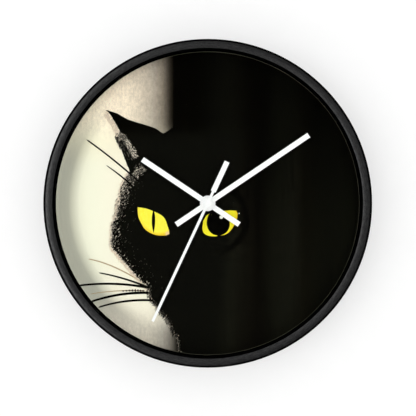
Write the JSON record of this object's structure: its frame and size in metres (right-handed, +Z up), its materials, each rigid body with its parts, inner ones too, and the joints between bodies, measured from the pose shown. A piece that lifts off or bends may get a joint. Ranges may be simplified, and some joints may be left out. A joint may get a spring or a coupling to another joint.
{
  "type": "wall clock",
  "caption": "Round wall clock with a deep black ring frame, a printed cat-face dial under a clear lens, plain white hands and a battery quartz movement with its train.",
  "frame": {"origin": "on the hands' axis, halfway through the frame's depth; the rear rim, which rests on the wall, is at +Y 20 mm", "axes": "+Y into the wall (the dial faces -Y), +Z up the dial, +X to the viewer's right"},
  "size_m": [0.254, 0.04, 0.254],
  "materials": {
    "black_lacquer_wood": "satin black lacquer over fine grain",
    "clear_acrylic": "clear, gloss",
    "black_strip": "matt black",
    "dial_paper": "smooth card, pale cream print",
    "black_ink": "satin ink on card",
    "yellow_ink": "satin ink on card",
    "hardboard": "smooth hardboard",
    "spring_steel": "bright",
    "zinc_steel": "zinc plated",
    "black_rubber": "matt",
    "brass": "turned, bright",
    "black_plastic": "fine spark texture",
    "natural_plastic": "natural, slightly translucent",
    "green_board": "solder mask",
    "nickel_can": "drawn can",
    "black_epoxy": "glossy blob",
    "copper_wire": "enamelled copper",
    "soft_iron": "stamped sheet",
    "nickel_strip": "nickel plated",
    "battery_wrap": "gloss sleeve",
    "magnet": "sintered",
    "white_acetal": "moulded",
    "white_hand": "white lacquer"
  },
  "bodies": {
    "clock_body": {"frame_ring": "black_lacquer_wood", "lens": "clear_acrylic", "spacer_ring": "black_strip", "dial_card": "dial_paper", "dial_print_black": "black_ink", "dial_print_yellow": "yellow_ink", "back_board": "hardboard", "retaining_points": "spring_steel", "hanger_bracket": "zinc_steel", "rubber_washer": "black_rubber", "brass_washer": "brass", "shaft_nut": "brass", "threaded_bush": "brass", "movement_case": "black_plastic", "movement_front_plate": "black_plastic", "middle_plate": "natural_plastic", "circuit_board": "green_board", "quartz_crystal": "nickel_can", "chip_cover": "black_epoxy", "coil_bobbin": "natural_plastic", "coil_winding": "copper_wire", "coil_core": "soft_iron", "stator": "soft_iron", "battery_contact_positive": "nickel_strip", "battery_contact_negative": "nickel_strip"},
    "battery_cell": {"battery": "battery_wrap"},
    "rotor_shaft": {"rotor": "natural_plastic", "rotor_magnet": "magnet"},
    "intermediate_shaft": {"intermediate_wheel": "white_acetal"},
    "seconds_shaft": {"seconds_arbor": "spring_steel", "seconds_wheel": "white_acetal", "second_hand": "white_hand"},
    "third_shaft": {"third_wheel": "white_acetal"},
    "centre_shaft": {"centre_wheel": "white_acetal"},
    "minute_shaft": {"cannon_pinion": "white_acetal", "minute_hand": "white_hand"},
    "minute_wheel_shaft": {"minute_wheel": "white_acetal"},
    "hour_shaft": {"hour_wheel": "white_acetal", "hour_hand": "white_hand"},
    "knob_shaft": {"setting_knob": "natural_plastic"}
  },
  "joints": [
    {"name": "second_hand_spin", "type": "hinge", "parent": "clock_body", "child": "seconds_shaft", "pos_m": [0, 0.0104, 0], "axis": [0, 1, 0], "continuous": true},
    {"name": "rotor_spin", "type": "hinge", "parent": "clock_body", "child": "rotor_shaft", "pos_m": [-0.00287, 0.011, 0.01629], "axis": [0, 1, 0], "continuous": true},
    {"name": "intermediate_spin", "type": "hinge", "parent": "clock_body", "child": "intermediate_shaft", "pos_m": [0, 0.011, 0.0084], "axis": [0, 1, 0], "continuous": true},
    {"name": "third_spin", "type": "hinge", "parent": "clock_body", "child": "third_shaft", "pos_m": [0.0115, 0.0086, 0.00419], "axis": [0, 1, 0], "continuous": true},
    {"name": "centre_wheel_spin", "type": "hinge", "parent": "clock_body", "child": "centre_shaft", "pos_m": [0, 0.0055, 0], "axis": [0, 1, 0], "continuous": true},
    {"name": "minute_hand_spin", "type": "hinge", "parent": "clock_body", "child": "minute_shaft", "pos_m": [0, 0.004, 0], "axis": [0, 1, 0], "continuous": true},
    {"name": "minute_wheel_spin", "type": "hinge", "parent": "clock_body", "child": "minute_wheel_shaft", "pos_m": [-0.00816, 0.004, 0.0038], "axis": [0, 1, 0], "continuous": true},
    {"name": "hour_hand_spin", "type": "hinge", "parent": "clock_body", "child": "hour_shaft", "pos_m": [0, 0.002, 0], "axis": [0, 1, 0], "continuous": true},
    {"name": "setting_knob_spin", "type": "hinge", "parent": "clock_body", "child": "knob_shaft", "pos_m": [-0.01702, 0.004, 0.00224], "axis": [0, 1, 0], "continuous": true},
    {"name": "battery_slide", "type": "slide", "parent": "clock_body", "child": "battery_cell", "axis": [0, 1, 0], "range_m": [0, 0.03]}
  ],
  "couplings": [
    {"joint": "rotor_spin", "follows": "second_hand_spin", "ratio": 30},
    {"joint": "intermediate_spin", "follows": "second_hand_spin", "ratio": -5},
    {"joint": "third_spin", "follows": "second_hand_spin", "ratio": -0.13333},
    {"joint": "centre_wheel_spin", "follows": "second_hand_spin", "ratio": 0.016667},
    {"joint": "minute_wheel_spin", "follows": "minute_hand_spin", "ratio": -0.33333},
    {"joint": "hour_hand_spin", "follows": "minute_hand_spin", "ratio": 0.083333},
    {"joint": "setting_knob_spin", "follows": "minute_hand_spin", "ratio": 1}
  ]
}
